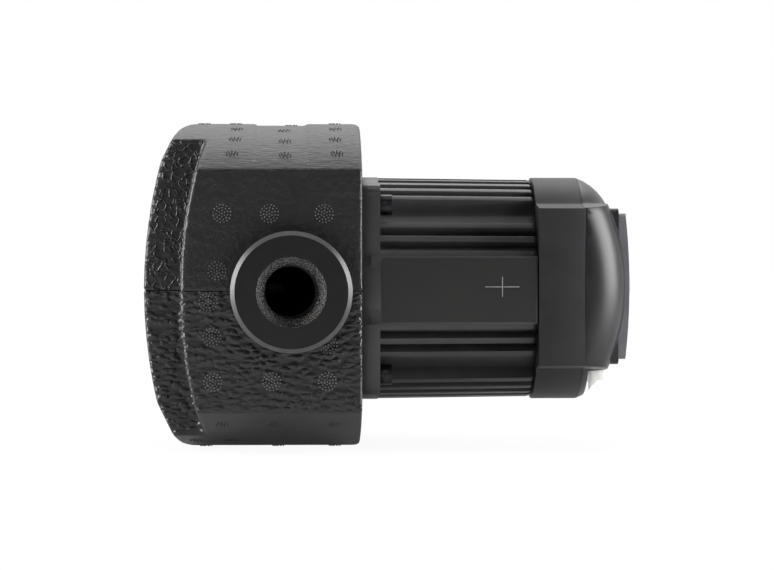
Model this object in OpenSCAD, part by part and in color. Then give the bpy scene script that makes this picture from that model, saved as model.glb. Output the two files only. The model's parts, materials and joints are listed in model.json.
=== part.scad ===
// Wet-rotor circulation pump with threaded ports, a foam shell in two halves and a finned motor.
// X runs along the motor's axis towards the control panel, Y along the pipe, and Z up.
// The origin is the centre of the first port's face.

/* [Ports] */
// Length from port face to port face
port_span = 180; // [170:1:200]
// Outside diameter of each port's thread
thread_d = 47.8; // [44:0.1:52]
// Length of each port that stands out of the foam
thread_len = 22; // [18:0.5:26]
// Bevel at each thread's mouth
thread_bevel = 1.7; // [0.5:0.1:2.5]
// Bore at each port's face
bore_d = 27.6; // [24:0.1:30]
// Length of that bore
bore_len = 4; // [3:0.5:6]
// Length of the cast funnel behind it
funnel_len = 6; // [4:0.5:8]
// Diameter of the water passage
passage_d = 21; // [18:0.5:22]
// Outside diameter of the necks inside the foam
neck_d = 40; // [36:0.5:42]

/* [Pump casing] */
// Distance from the pipe's axis to the joint with the motor
joint_x = 28.5; // [28:0.5:32]
// Distance from the pipe's axis to the casing's back
casing_back = 30; // [29:0.5:34]
// Outside radius of the casing's bowl
bowl_r = 42.5; // [42:0.5:46]
// Radius of the flat at the bowl's back
bowl_flat_r = 15; // [10:0.5:20]
// Length of the bowl's curved shoulder
bowl_curve_len = 24; // [18:0.5:28]
// Thickness of the casing's flange
casing_flange_t = 12; // [10:0.5:14]
// How much smaller than the motor's flange the casing's is, on each side
flange_step = 1.5; // [1:0.1:2.5]
// Depth of the recess that holds the gasket, the plate and the can
recess_depth = 4; // [3.5:0.1:5]

/* [Impeller] */
// Impeller diameter
impeller_d = 58; // [54:0.5:60]
// Distance from the pipe's axis to the impeller's front shroud
impeller_x = 6; // [5:0.5:7]
// Height of the water channel between the shrouds
channel_h = 6.4; // [5:0.1:7]
// Thickness of each shroud
shroud_t = 1.6; // [1.2:0.1:2]
// Bore of the impeller's eye
eye_d = 19; // [17:0.5:20]
// Wall of the collar round the eye
collar_t = 1.5; // [1.2:0.1:2]
// Number of vanes
vane_count = 6; // [4:1:8]
// Thickness of a vane
vane_t = 1.8; // [1.2:0.1:2.2]
// Diameter of the impeller's hub
hub_d = 15; // [13:0.5:16]

/* [Rotor] */
// Shaft diameter
shaft_d = 9; // [8:0.5:10]
// Outside diameter of both plain bearings
bearing_d = 16; // [15:0.5:17]
// Length of the front bearing
front_bearing_len = 13; // [10:0.5:14]
// Length of the rear bearing
rear_bearing_len = 7.6; // [6:0.2:8.4]
// Outside diameter of the rotor with its sleeve
rotor_d = 39.6; // [38:0.1:40]
// Length of the rotor's core
rotor_len = 38; // [34:0.5:40]
// Wall of the sleeve round the core
sleeve_t = 0.5; // [0.4:0.1:0.8]
// Thickness of the thrust ring
thrust_t = 3; // [2:0.5:4]
// Inside diameter of the rotor can
can_d = 40.8; // [40.6:0.1:42]
// Wall of the rotor can
can_t = 0.7; // [0.5:0.1:0.9]

/* [Stator] */
// Outside diameter of the stator
stator_d = 72; // [70:0.5:73]
// Length of the laminated stack
stack_len = 28; // [24:0.5:30]
// Number of teeth
tooth_count = 9; // [6:3:9]
// Width of a tooth
tooth_w = 6; // [5:0.1:7]
// Thickness of the ring that joins the teeth
yoke_t = 4.5; // [4:0.1:5]
// Thickness of the coil on each side of its tooth
coil_t = 3.2; // [2:0.1:3.4]

/* [Motor housing] */
// Distance from the pipe's axis to the housing's end
housing_end_x = 99.7; // [98:0.1:104]
// Half-width of the motor's square flange
flange_half = 43; // [42:0.5:45]
// Radius of the flange's corners
flange_corner_r = 5; // [3:0.5:8]
// Radius of the flange's round bulges
flange_round_r = 46.5; // [46:0.5:49]
// Thickness of the motor's flange
flange_t = 7.5; // [6:0.5:9]
// Distance of each flange screw from the motor's axis, both across and up
screw_offset = 34.5; // [34:0.5:36]
// Radius over the fins at the flange
fin_r = 46.2; // [45.5:0.1:47]
// How much smaller that radius is at the far end
fin_draft = 0.8; // [0:0.1:1.5]
// Thickness of a fin
fin_t = 2.6; // [2:0.1:3]
// Angle from one fin to the next
fin_pitch = 8; // [7:0.5:8.5]
// Radius of the housing between the fins
barrel_r = 40; // [39:0.5:41]
// Half-height of the flat label pad
pad_half = 13.8; // [10:0.2:14]
// Distance from the motor's axis to the pad's face
pad_depth = 45.6; // [44.5:0.1:45.8]
// Thickness of the label film
label_t = 0.3; // [0.2:0.1:0.5]
// Margin round the label film
label_margin = 0.8; // [0.4:0.1:2]

/* [Control box] */
// Radius of the box's round body
box_r = 46.3; // [46:0.1:48]
// Distance from the motor's axis to the flat cheek on each side
cheek_y = 46.8; // [46.5:0.1:48.5]
// Half-height of a cheek at its flat
cheek_half = 32; // [30:0.1:33]
// How much that half-height grows towards the round body
cheek_draft = 2; // [1:0.1:3]
// How far the cheeks and the panel sit above the motor's axis
panel_rise = 1.2; // [0:0.1:2]
// Length of the box up to its seam with the cover
box_len = 18.8; // [17:0.1:22]
// Wall of the box
box_wall = 2.4; // [2:0.1:2.8]
// Floor of the box
box_floor = 3; // [2.5:0.1:4]
// Wall of the cover
cover_wall = 3; // [2.6:0.1:3.4]
// Radius of the round dome's shoulder
shoulder_r = 22.4; // [20:0.1:26]
// Distance from the seam to the nose of the cheeks' dome
cheek_dome_len = 17.9; // [16.5:0.1:19]
// Radius of the cheeks' shoulders, seen from above
cheek_shoulder_r = 17.7; // [16:0.1:19]
// Radius of the cheeks' dome, seen from the front
cheek_crown_r = 85; // [75:1:120]

/* [Control panel] */
// Half-width of the square panel
panel_half = 30; // [29:0.5:31]
// Radius of the panel's corners
panel_corner_r = 3; // [1.5:0.5:5]
// How far the ledge under the panel stands out round it
ledge_step = 2; // [1.5:0.1:2.5]
// Height of the ledge above the seam
ledge_h = 15.2; // [14:0.1:16]
// Height of the panel's middle above the ledge
panel_h = 6.3; // [5.5:0.1:7.5]
// Radius of the panel's crowned face
crown_r = 267; // [200:1:320]
// Half-width of the film on the panel
film_half = 27; // [24:0.5:28]
// Thickness of that film
film_t = 0.5; // [0.4:0.1:0.8]
// Button diameter
button_d = 14; // [12:0.5:16]
// Button travel
button_travel = 1; // [0.6:0.1:1.2]
// How far the button stands above the film
button_proud = 1.2; // [1.1:0.1:1.6]
// Number of indicator lights
lamp_count = 6; // [3:1:6]
// Diameter of an indicator light
lamp_d = 3; // [2:0.1:3.6]
// Distance of the lights from the button's axis
lamp_ring_r = 16; // [14:0.5:17]

/* [Power inlet] */
// Distance from the seam to the notch
notch_x = 3; // [2.8:0.1:5]
// Height of the notch's roof below the motor's axis
notch_z = 33.6; // [33:0.1:35]
// Width of the inlet along the pipe
inlet_w = 26; // [22:0.5:28]
// Thickness of the inlet along the motor
inlet_d = 8; // [7:0.1:8.2]
// How far the inlet's rim hangs below the roof
inlet_rim = 4.6; // [3:0.1:5]
// Wall of the inlet
inlet_wall = 1.6; // [1.2:0.1:2]
// Depth of the socket
socket_depth = 12; // [10:0.5:13]

/* [Foam shell] */
// Height of the arched top's crown above the motor's axis
foam_top = 68.7; // [67:0.1:70]
// Depth of the arched underside's middle below the motor's axis
foam_bottom = 65.5; // [64.5:0.1:68]
// Half-height of the front face between the two arches
face_half_z = 48; // [46:0.5:50]
// Distance from the pipe's axis to the foam's rounded back
foam_back = 59.7; // [57:0.1:63]
// Distance from the pipe's axis to the raised face's curved edge
face_edge = 44; // [42:0.5:46]
// Radius of that edge, seen from the front
face_edge_r = 195; // [150:5:240]
// Least wall of the foam beside the casing's bowl, which sets how deep the rounded back is
bowl_wall = 0.7; // [0.5:0.1:2]
// Radius of the rounded back, seen from the front
back_r = 200; // [170:5:240]
// Rounding of the corners by the motor
foam_round = 2.4; // [1.5:0.1:4]
// Gap between the foam and what it wraps
foam_gap = 0.3; // [0.3:0.1:0.6]

/* [Hidden] */
$fn = 72;

// Fits and cuts
seat_gap = 0.02;
running_gap = 0.05;
slip_gap = 0.15;
overrun = 1;

// Places along the pipe
motor_y = port_span / 2;
bend_inset = 20;
bend_lap = 3;
bend_step = 0.6;

// Pump side, along the motor's axis
pump_gap = 1;
chamber_r = impeller_d / 2 + 1.5 * pump_gap;
chamber_x = impeller_x - pump_gap;
recess_x = joint_x - recess_depth;
impeller_r = impeller_d / 2;
channel_x = impeller_x + shroud_t;
back_shroud_x = channel_x + channel_h;
vane_tip_inset = 0.3;
volute_r = 6.5;
volute_step = 4;
volute_ring_r = impeller_r + volute_step;
volute_x = channel_x + channel_h / 2;
suction_r = 13;
suction_len = 24;
suction_offset = 14;
suction_inset = 10;
ring_len = 5;
ring_t = 2.7;
ring_gap = 0.3;
collar_r = eye_d / 2 + collar_t;
ring_r = collar_r + ring_gap;
discharge_r = 8.5;
neck_flare = 7;
neck_flare_from = 30;
neck_flare_to = 56;

// Recess stack: gasket, then bearing plate, then the can's flange
plate_r = 36;
plate_t = 1.3;
can_flange_t = 1.1;
gasket_t = recess_depth - plate_t - can_flange_t - slip_gap;
gasket_w = 3.8;
plate_x = recess_x + gasket_t;
can_x = plate_x + plate_t;
plate_hub_t = 2.5;
plate_vent_r = 1.2;
plate_vent_at = 16;

// Rotor
bearing_lead = 4.5;
hub_clearance = 2;
hub_step = 1.4;
rotor_clearance = 1.8;
can_room = 4;
pocket_room = 1.2;
front_bearing_x = joint_x - bearing_lead;
front_bearing_end = front_bearing_x + front_bearing_len;
hub_end = front_bearing_x - hub_clearance;
hub_front = channel_x + hub_step;
thrust_x = front_bearing_end + slip_gap;
rotor_x = thrust_x + thrust_t + rotor_clearance;
rotor_end = rotor_x + rotor_len;
can_end_x = rotor_end + can_room;
pocket_len = rear_bearing_len + pocket_room;
pocket_end_x = can_end_x + pocket_len;
shaft_r = shaft_d / 2;
shaft_end = can_end_x + rear_bearing_len;

// Stator
stack_x = rotor_x + (rotor_len - stack_len) / 2;
stator_r = stator_d / 2;
stator_bore_r = can_d / 2 + can_t + slip_gap;
shoe_t = 2.6;
slot_w = 3.2;
bobbin_t = 0.8;
bobbin_in_r = stator_bore_r + shoe_t + slip_gap;
bobbin_out_r = stator_r - yoke_t - 2 * slip_gap;
flange_of_bobbin = 1.2;

// Motor housing
cavity_len = 54;
cavity_x = joint_x + cavity_len;
cavity_r = 30;
end_wall = 3.4;
lead_hole_r = 7;
lead_z = 20;
housing_r_end = fin_r - fin_draft;
fin_round = 1.5;
outer_fin_angle = 19;
crown_fin_angle = 3;
outer_fins = [for (n = [0 : 2]) outer_fin_angle + n * fin_pitch];
crown_fins = [for (n = [0 : 1]) crown_fin_angle + n * fin_pitch];
fin_angles = concat([for (side = [0 : 3]) for (a = outer_fins) each [90 * side - a, 90 * side + a]],
    [for (side = [0, 1, 3]) for (a = crown_fins) each [90 * side - a, 90 * side + a]]);
screw_r = 2.5;
screw_hole_r = 2.75;
screw_len = 16;
screw_head_r = 4.25;
screw_head_h = 5;
socket_r = 2.3;
socket_h = 2.5;

// Control box
box_gasket_t = 0.5;
box_gasket_inset = 1;
box_x = housing_end_x + box_gasket_t;
seam_x = box_x + box_len;
cheek_root_y = 29;
box_screw_at = 25.2;
box_screw_r = 2;
box_screw_len = 8;
box_screw_head_r = 3.6;
box_screw_head_h = 2.6;
grommet_t = 2.5;
grommet_lip = 1.2;
tab_len = 6;
tab_w = 14;
tab_t = 1.6;
board_lift = 6;
board_x = box_x + box_floor + board_lift;
board_t = 1.6;
board_inset = 5;
board_post_at = 35;
capacitor_d = 14;
capacitor_len = 26;
capacitor_z = 29;
choke_ring_r = 8.5;
choke_r = 3.6;
choke_at = [-19, -14];

// Panel
ledge_x = seam_x + ledge_h;
cheek_barrel_x = seam_x + cheek_dome_len - cheek_crown_r;
dome_steps = 8;
panel_top_x = ledge_x + panel_h;
crown_x = panel_top_x - crown_r;
ledge_half = panel_half + ledge_step;
panel_floor = 1.6;
cover_floor_x = ledge_x - cover_wall;
lamp_r = lamp_d / 2;
stem_r = 2;
button_round = 0.8;
display_half = 21;
display_t = 1.6;
display_drop = 3.4;
display_x = cover_floor_x - display_drop;
switch_half = 3;
switch_h = 3.2;
post_r = 2.5;

// Power inlet
notch_at = seam_x + notch_x;
inlet_x = notch_at + slip_gap;
inlet_top = 10;
pin_t = 1;
pin_w = 3;
pin_pitch = 7;
pin_show = 5;
gusset_t = 1.6;
gusset_h = 4.2;
gusset_d = 3.6;

// Foam
parting = 0.3;
foam_end_x = joint_x - foam_gap;
foam_half_y = motor_y - thread_len;
back_half_y = bowl_r + foam_gap + bowl_wall;
back_top_x = 44.7;
back_lean = 26;
back_top_round = 10;

// Points of an arc about a centre
function arc_points(centre, r, from, to, steps) =
    [for (i = [0 : steps]) let (a = from + (to - from) * i / steps) centre + r * [cos(a), sin(a)]];
function unit(v) = v / norm(v);
// A corner's arc, or the bare corner where its radius is zero
function corner_points(before, corner, after, r, steps) =
    r == 0 ? [corner] :
    let (a = unit(before - corner), b = unit(after - corner), half = acos(a * b) / 2)
    let (centre = corner + unit(a + b) * r / sin(half))
    let (start = corner + a * r / tan(half) - centre, end = corner + b * r / tan(half) - centre)
    let (from = atan2(start.y, start.x), turn = atan2(end.y, end.x) - from)
    let (sweep = turn > 180 ? turn - 360 : turn < -180 ? turn + 360 : turn)
    arc_points(centre, r, from, from + sweep, steps);
// An outline with a radius at each of its corners
function rounded(points, radii, steps = 5) =
    let (n = len(points))
    [for (i = [0 : n - 1])
        each corner_points(points[(i + n - 1) % n], points[i], points[(i + 1) % n], radii[i], steps)];
// The same radius at every corner
function evenly_rounded(points, r) = rounded(points, [for (p = points) r]);
function square_points(half) = [[half, half], [-half, half], [-half, -half], [half, -half]];
// Local X, Y and Z become the part's Y, Z and X, from a place on the motor's axis
module along_motor(x) {
    translate([x, motor_y, 0]) rotate([90, 0, 90]) children();
}

// The same along the panel's own axis, which lies a little higher
module along_panel(x) {
    translate([0, 0, panel_rise]) along_motor(x) children();
}

// Local Z becomes the part's Y, from a place on the pipe's axis
module along_pipe(y) {
    translate([0, y, 0]) rotate([-90, 0, 0]) children();
}

// An outline in X and Z, as thick as both sides of the motor's axis
module across_pipe(half_depth) {
    translate([0, motor_y, 0]) rotate([90, 0, 0]) linear_extrude(2 * half_depth, center = true) children();
}

// A turn about the motor's axis
module about_motor(angle) {
    translate([0, motor_y, 0]) rotate([angle, 0, 0]) translate([0, -motor_y, 0]) children();
}

module motor_disc(x, r, length) {
    along_motor(x) cylinder(r = r, h = length);
}

module motor_ring(x, outer_r, inner_r, length) {
    along_motor(x) difference() {
        cylinder(r = outer_r, h = length);
        translate([0, 0, -overrun]) cylinder(r = inner_r, h = length + 2 * overrun);
    }
}

module panel_block(x, half, length) {
    along_panel(x) translate([-half, -half, 0]) cube([2 * half, 2 * half, length]);
}

// A round passage between two points level with the axes
module passage_between(from, to, r) {
    step = to - from;
    translate([from.x, from.y, 0]) rotate([0, 0, atan2(step.y, step.x)]) rotate([0, 90, 0])
        cylinder(r = r, h = norm(step));
}

module at_four_corners(offset) {
    for (y = [-offset, offset]) for (z = [-offset, offset]) translate([y, z, 0]) children();
}

// Square flange with round bulges between its corners
module flange_outline(grow) {
    polygon(evenly_rounded(square_points(flange_half + grow), flange_corner_r));
    circle(r = flange_round_r + grow, $fn = 144);
}

// Quarter ellipse from the bowl's flat back to its barrel
function bowl_points(grow) =
    [for (a = [0 : 10 : 90])
        [bowl_flat_r + (bowl_r + grow - bowl_flat_r) * sin(a),
            -casing_back - grow + (bowl_curve_len + grow) * (1 - cos(a))]];

// Outside of the casting that the foam wraps, grown by a gap and reaching past the joint
module casing_form(grow, reach) {
    along_motor(0) rotate_extrude($fn = 144)
        polygon(concat([[0, -casing_back - grow]], bowl_points(grow),
            [[bowl_r + grow, joint_x - casing_flange_t], [0, joint_x - casing_flange_t]]));
    along_motor(joint_x - casing_flange_t - grow)
        linear_extrude(casing_flange_t + grow + reach) flange_outline(grow - flange_step);
    along_pipe(0) cylinder(r = neck_d / 2 + grow, h = port_span);
    for (side = [0, 1]) translate([0, motor_y, 0]) mirror([0, side, 0]) translate([0, neck_flare_from, 0])
        rotate([-90, 0, 0]) cylinder(r1 = neck_d / 2 + neck_flare + grow, r2 = neck_d / 2 + grow,
            h = neck_flare_to - neck_flare_from);
}

// Threaded end of one port, without the thread's groove
module port_end() {
    straight = thread_len - foam_gap - thread_bevel;
    cylinder(r1 = thread_d / 2 - thread_bevel, r2 = thread_d / 2, h = thread_bevel);
    translate([0, 0, thread_bevel]) cylinder(r = thread_d / 2, h = straight);
}

// Bore, funnel and straight passage of one port
module port_passage() {
    translate([0, 0, -overrun]) cylinder(r = bore_d / 2, h = bore_len + overrun);
    translate([0, 0, bore_len]) cylinder(r1 = bore_d / 2, r2 = passage_d / 2, h = funnel_len);
    translate([0, 0, bore_len]) cylinder(r = passage_d / 2, h = bend_inset - bore_len);
}

module both_ports() {
    along_pipe(0) children();
    translate([0, port_span, 0]) rotate([90, 0, 0]) children();
}

module pump_casing() {
    suction_end = [-suction_offset, motor_y - suction_inset];
    volute_end = [volute_x, motor_y + volute_ring_r];
    color("#232324") difference() {
        union() {
            casing_form(0, 0);
            both_ports() port_end();
        }
        both_ports() port_passage();
        passage_between([0, bend_inset - bend_lap], suction_end, passage_d / 2 - bend_step);
        passage_between([0, port_span - bend_inset + bend_lap], volute_end, discharge_r);
        motor_disc(chamber_x - ring_len - pump_gap - suction_len, suction_r, suction_len + overrun);
        motor_disc(chamber_x - ring_len, ring_r + ring_t + seat_gap, ring_len + overrun);
        motor_disc(chamber_x, chamber_r, joint_x - chamber_x);
        along_motor(volute_x) rotate_extrude() translate([volute_ring_r, 0]) circle(r = volute_r);
        motor_disc(recess_x, plate_r + slip_gap, recess_depth + overrun);
        along_motor(joint_x - screw_len + flange_t) at_four_corners(screw_offset)
            cylinder(r = screw_r + seat_gap, h = screw_len);
    }
}

// Wear ring pressed into the wall round the impeller's eye
module neck_ring() {
    color("#b8bcc0") motor_ring(chamber_x - ring_len, ring_r + ring_t, ring_r, ring_len);
}

module casing_gasket() {
    color("#30302e") motor_ring(recess_x, plate_r, plate_r - gasket_w, gasket_t);
}

module bearing_plate() {
    color("#b8bcc0") difference() {
        union() {
            motor_disc(plate_x, plate_r, plate_t);
            motor_disc(front_bearing_x, bearing_d / 2 + plate_hub_t, front_bearing_len);
        }
        motor_disc(front_bearing_x - overrun, bearing_d / 2 + seat_gap, front_bearing_len + 2 * overrun);
        along_motor(plate_x - overrun) for (a = [45 : 90 : 315])
            rotate(a) translate([plate_vent_at, 0, 0]) cylinder(r = plate_vent_r, h = plate_t + 2 * overrun);
    }
}

module front_bearing() {
    color("#3b3d40")
        motor_ring(front_bearing_x, bearing_d / 2, shaft_r + running_gap, front_bearing_len);
}

// Thin cup that keeps the water away from the stator, with a pocket for the rear bearing
module rotor_can() {
    color("#c4c7ca") along_motor(0) rotate_extrude(convexity = 4) polygon([
        [can_d / 2, can_x], [plate_r, can_x], [plate_r, can_x + can_flange_t],
        [can_d / 2 + can_t, can_x + can_flange_t], [can_d / 2 + can_t, can_end_x + can_t],
        [bearing_d / 2 + seat_gap + can_t, can_end_x + can_t],
        [bearing_d / 2 + seat_gap + can_t, pocket_end_x + can_t], [0, pocket_end_x + can_t],
        [0, pocket_end_x], [bearing_d / 2 + seat_gap, pocket_end_x],
        [bearing_d / 2 + seat_gap, can_end_x], [can_d / 2, can_end_x]]);
}

module rear_bearing() {
    color("#3b3d40") motor_ring(can_end_x, bearing_d / 2, shaft_r + running_gap, rear_bearing_len);
}

module shaft() {
    color("#e6e3da") motor_disc(hub_front, shaft_r, shaft_end - hub_front);
}

module rotor_core() {
    color("#55585c")
        motor_ring(rotor_x, rotor_d / 2 - sleeve_t - seat_gap, shaft_r + seat_gap, rotor_len);
}

module rotor_sleeve() {
    color("#c4c7ca") motor_ring(rotor_x, rotor_d / 2, rotor_d / 2 - sleeve_t, rotor_len);
}

module thrust_ring() {
    color("#2c2c2c") motor_ring(thrust_x, bearing_d / 2, shaft_r + seat_gap, thrust_t);
}

// One backward-curved vane, cut from a ring whose centre lies off the shaft
module vane_outline() {
    vane_curve_r = impeller_r * 0.69;
    vane_centre = impeller_r * 0.48;
    intersection() {
        difference() {
            circle(r = impeller_r - vane_tip_inset);
            circle(r = eye_d / 2 + vane_tip_inset);
        }
        translate([vane_centre, 0]) difference() {
            circle(r = vane_curve_r + vane_t / 2);
            circle(r = vane_curve_r - vane_t / 2);
        }
        translate([-impeller_d, 0]) square([2 * impeller_d, impeller_d]);
    }
}

// Hub, back shroud and vanes in one moulding
module impeller() {
    color("#d9d2bd") difference() {
        union() {
            motor_disc(back_shroud_x, impeller_r, shroud_t);
            motor_disc(hub_front, hub_d / 2, hub_end - hub_front);
            along_motor(channel_x) linear_extrude(channel_h + shroud_t / 2)
                for (i = [0 : vane_count - 1]) rotate(360 * i / vane_count) vane_outline();
        }
        motor_disc(hub_front - overrun, shaft_r + seat_gap, hub_end - hub_front + 2 * overrun);
    }
}

// Front shroud with the collar that runs in the neck ring
module impeller_shroud() {
    collar_x = chamber_x - ring_len + 0.5 * pump_gap;
    color("#d9d2bd") union() {
        motor_ring(impeller_x, impeller_r, eye_d / 2, shroud_t);
        motor_ring(collar_x, collar_r, eye_d / 2, impeller_x - collar_x + shroud_t / 2);
    }
}

// Laminated stack: a yoke, its teeth and their pole shoes
module stator_core() {
    color("#6a6c6f") along_motor(stack_x) linear_extrude(stack_len) {
        difference() {
            circle(r = stator_r);
            circle(r = stator_r - yoke_t);
        }
        for (i = [0 : tooth_count - 1]) rotate(360 * i / tooth_count)
            translate([stator_bore_r + shoe_t / 2, -tooth_w / 2])
                square([stator_r - yoke_t / 2 - stator_bore_r - shoe_t / 2, tooth_w]);
        difference() {
            circle(r = stator_bore_r + shoe_t);
            circle(r = stator_bore_r);
            for (i = [0 : tooth_count - 1]) rotate(360 * (i + 0.5) / tooth_count)
                translate([0, -slot_w / 2]) square([stator_r, slot_w]);
        }
    }
}

// A frame round one tooth: from a radius to a radius, with its walls and end walls
module tooth_frame(from_r, to_r, inner_w, inner_end, wall, end_wall) {
    outer_w = inner_w + 2 * wall;
    translate([from_r, -outer_w / 2, -inner_end - end_wall])
        difference() {
            cube([to_r - from_r, outer_w, stack_len + 2 * (inner_end + end_wall)]);
            translate([-overrun, wall, end_wall])
                cube([to_r - from_r + 2 * overrun, inner_w, stack_len + 2 * inner_end]);
        }
}

module stator_bobbins() {
    color("#e7e4dc") along_motor(stack_x) for (i = [0 : tooth_count - 1]) rotate(360 * i / tooth_count)
        tooth_frame(bobbin_in_r, bobbin_out_r, tooth_w + 2 * seat_gap, seat_gap, bobbin_t, bobbin_t);
}

module stator_windings() {
    bobbin_w = tooth_w + 2 * (2 * seat_gap + bobbin_t);
    bobbin_end = 2 * seat_gap + bobbin_t;
    color("#b5642c") along_motor(stack_x) for (i = [0 : tooth_count - 1]) rotate(360 * i / tooth_count)
        tooth_frame(bobbin_in_r + flange_of_bobbin, bobbin_out_r - flange_of_bobbin, bobbin_w,
            bobbin_end, coil_t, coil_t);
}

// Fins, cut to a slightly tapered barrel with a rounded end
module fin_envelope() {
    along_motor(0) rotate_extrude($fn = 144) polygon(concat(
        [[barrel_r - 1.5 * overrun, joint_x + flange_t / 2], [fin_r, joint_x + flange_t / 2]],
        arc_points([housing_r_end - fin_round, housing_end_x - fin_round], fin_round, 0, 90, 4),
        [[barrel_r - 1.5 * overrun, housing_end_x]]));
}

module housing_fins() {
    intersection() {
        fin_envelope();
        along_motor(joint_x) for (a = fin_angles) rotate(a)
            translate([0, -fin_t / 2, 0]) cube([fin_r + overrun, fin_t, housing_end_x - joint_x]);
    }
}

// Cast housing: flange, barrel, fins and the flat pad for the label
module motor_housing() {
    color("#1d1d1e") difference() {
        union() {
            along_motor(joint_x) linear_extrude(flange_t) flange_outline(0);
            motor_disc(joint_x, barrel_r, housing_end_x - joint_x);
            housing_fins();
            translate([joint_x + flange_t / 2, motor_y - pad_depth, -pad_half])
                cube([housing_end_x - joint_x - flange_t / 2, pad_depth - barrel_r / 2, 2 * pad_half]);
        }
        motor_disc(joint_x - overrun, stator_r + seat_gap, cavity_x - joint_x + overrun);
        motor_disc(cavity_x - overrun, cavity_r, housing_end_x - end_wall - cavity_x + overrun);
        along_motor(joint_x - overrun) at_four_corners(screw_offset)
            cylinder(r = screw_hole_r, h = flange_t + 2 * overrun);
        along_motor(housing_end_x - box_screw_len) at_four_corners(box_screw_at)
            cylinder(r = box_screw_r + seat_gap, h = box_screw_len + overrun);
        along_motor(housing_end_x - end_wall - overrun) translate([0, lead_z, 0])
            cylinder(r = lead_hole_r, h = end_wall + 2 * overrun);
    }
}

module flange_screws() {
    color("#26262a") along_motor(joint_x + flange_t) at_four_corners(screw_offset) difference() {
        union() {
            cylinder(r = screw_head_r, h = screw_head_h);
            translate([0, 0, -screw_len]) cylinder(r = screw_r, h = screw_len + overrun);
        }
        translate([0, 0, screw_head_h - socket_h]) cylinder(r = socket_r, h = socket_h + overrun, $fn = 6);
    }
}

module rating_label() {
    length = housing_end_x - joint_x - flange_t - 2 * label_margin;
    color("#0f0f10")
        translate([joint_x + flange_t + label_margin, motor_y - pad_depth - label_t, label_margin - pad_half])
            cube([length, label_t, 2 * (pad_half - label_margin)]);
}

module box_gasket() {
    color("#333333") difference() {
        motor_ring(housing_end_x, barrel_r - box_gasket_inset, cavity_r + box_gasket_inset, box_gasket_t);
        along_motor(housing_end_x - overrun) at_four_corners(box_screw_at)
            cylinder(r = box_screw_r + slip_gap, h = box_gasket_t + 2 * overrun);
    }
}

// Outline of both flat cheeks, with the draft that joins them to the round body
function cheek_points(inset) =
    let (flat = cheek_half - inset, root = cheek_half + cheek_draft - inset, y = cheek_y - inset)
    [for (p = [[y, -flat], [y, flat], [cheek_root_y, root], [-cheek_root_y, root],
        [-y, flat], [-y, -flat], [-cheek_root_y, -root], [cheek_root_y, -root]]) p + [0, panel_rise]];

// Outline of the control box: a round body between its cheeks
module box_outline(inset) {
    circle(r = box_r - inset, $fn = 144);
    polygon(cheek_points(inset));
}

module control_box() {
    color("#19191b") difference() {
        along_motor(box_x) linear_extrude(box_len) box_outline(0);
        difference() {
            along_motor(box_x + box_floor) linear_extrude(box_len) box_outline(box_wall);
            along_motor(box_x) for (a = [0 : 90 : 270]) rotate(a) translate([board_post_at, 0, 0])
                cylinder(r = post_r, h = board_x - box_x);
        }
        along_motor(box_x - overrun) at_four_corners(box_screw_at)
            cylinder(r = box_screw_r + slip_gap, h = box_floor + 2 * overrun);
        along_motor(box_x - overrun) translate([0, lead_z, 0])
            cylinder(r = lead_hole_r, h = box_floor + 2 * overrun);
    }
}

module box_screws() {
    color("#c9ccd0") along_motor(box_x + box_floor) at_four_corners(box_screw_at) difference() {
        union() {
            cylinder(r = box_screw_head_r, h = box_screw_head_h);
            translate([0, 0, -box_screw_len]) cylinder(r = box_screw_r, h = box_screw_len + overrun);
        }
        for (a = [0, 90]) rotate(a)
            translate([-box_screw_r, -socket_r / 5, box_screw_head_h / 2])
                cube([2 * box_screw_r, 2 * socket_r / 5, box_screw_head_h]);
    }
}

// Rubber sleeve that guides the motor's leads into the box
module lead_grommet() {
    grommet_x = housing_end_x - end_wall;
    reach = box_x + box_floor - grommet_x;
    color("#2a2a2a") along_motor(grommet_x - grommet_lip) translate([0, lead_z, 0]) difference() {
        union() {
            cylinder(r = lead_hole_r - slip_gap, h = reach + 2 * grommet_lip);
            cylinder(r = lead_hole_r + grommet_lip, h = grommet_lip - slip_gap);
            translate([0, 0, reach + grommet_lip + slip_gap])
                cylinder(r = lead_hole_r + grommet_lip, h = grommet_lip);
        }
        translate([0, 0, -overrun])
            cylinder(r = lead_hole_r - grommet_t, h = reach + 2 * grommet_lip + 3 * overrun);
    }
}

module circuit_board() {
    color("#2f6b46") along_motor(board_x) difference() {
        linear_extrude(board_t) box_outline(board_inset);
        translate([0, lead_z, -overrun]) cylinder(r = lead_hole_r + grommet_lip, h = board_t + 2 * overrun);
    }
}

module filter_capacitor() {
    color("#34506e") translate([board_x + board_t, motor_y - capacitor_len / 2, capacitor_z])
        translate([capacitor_d / 2, 0, 0]) rotate([-90, 0, 0])
            cylinder(r = capacitor_d / 2, h = capacitor_len);
}

module choke_coil() {
    color("#b5642c") along_motor(board_x + board_t + choke_r) translate([choke_at.x, choke_at.y, 0])
        rotate_extrude() translate([choke_ring_r, 0]) circle(r = choke_r);
}

// Side and shoulder of a dome: distance from its centre line, then place along the motor
function dome_side(half, r, nose, inset) =
    let (centre = nose - r, lean = asin(max(seam_x - centre, 0) / r), centre_h = half - r * cos(lean))
    concat([[centre_h + (r - inset) * cos(lean), seam_x - 2 * overrun]],
        arc_points([centre_h, centre], r - inset, lean, 90, dome_steps));

module round_dome(inset) {
    along_motor(0) rotate_extrude($fn = 144) polygon(concat([[0, seam_x - 2 * overrun]],
        dome_side(box_r, shoulder_r, ledge_x, inset), [[0, ledge_x - inset]]));
}

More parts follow.
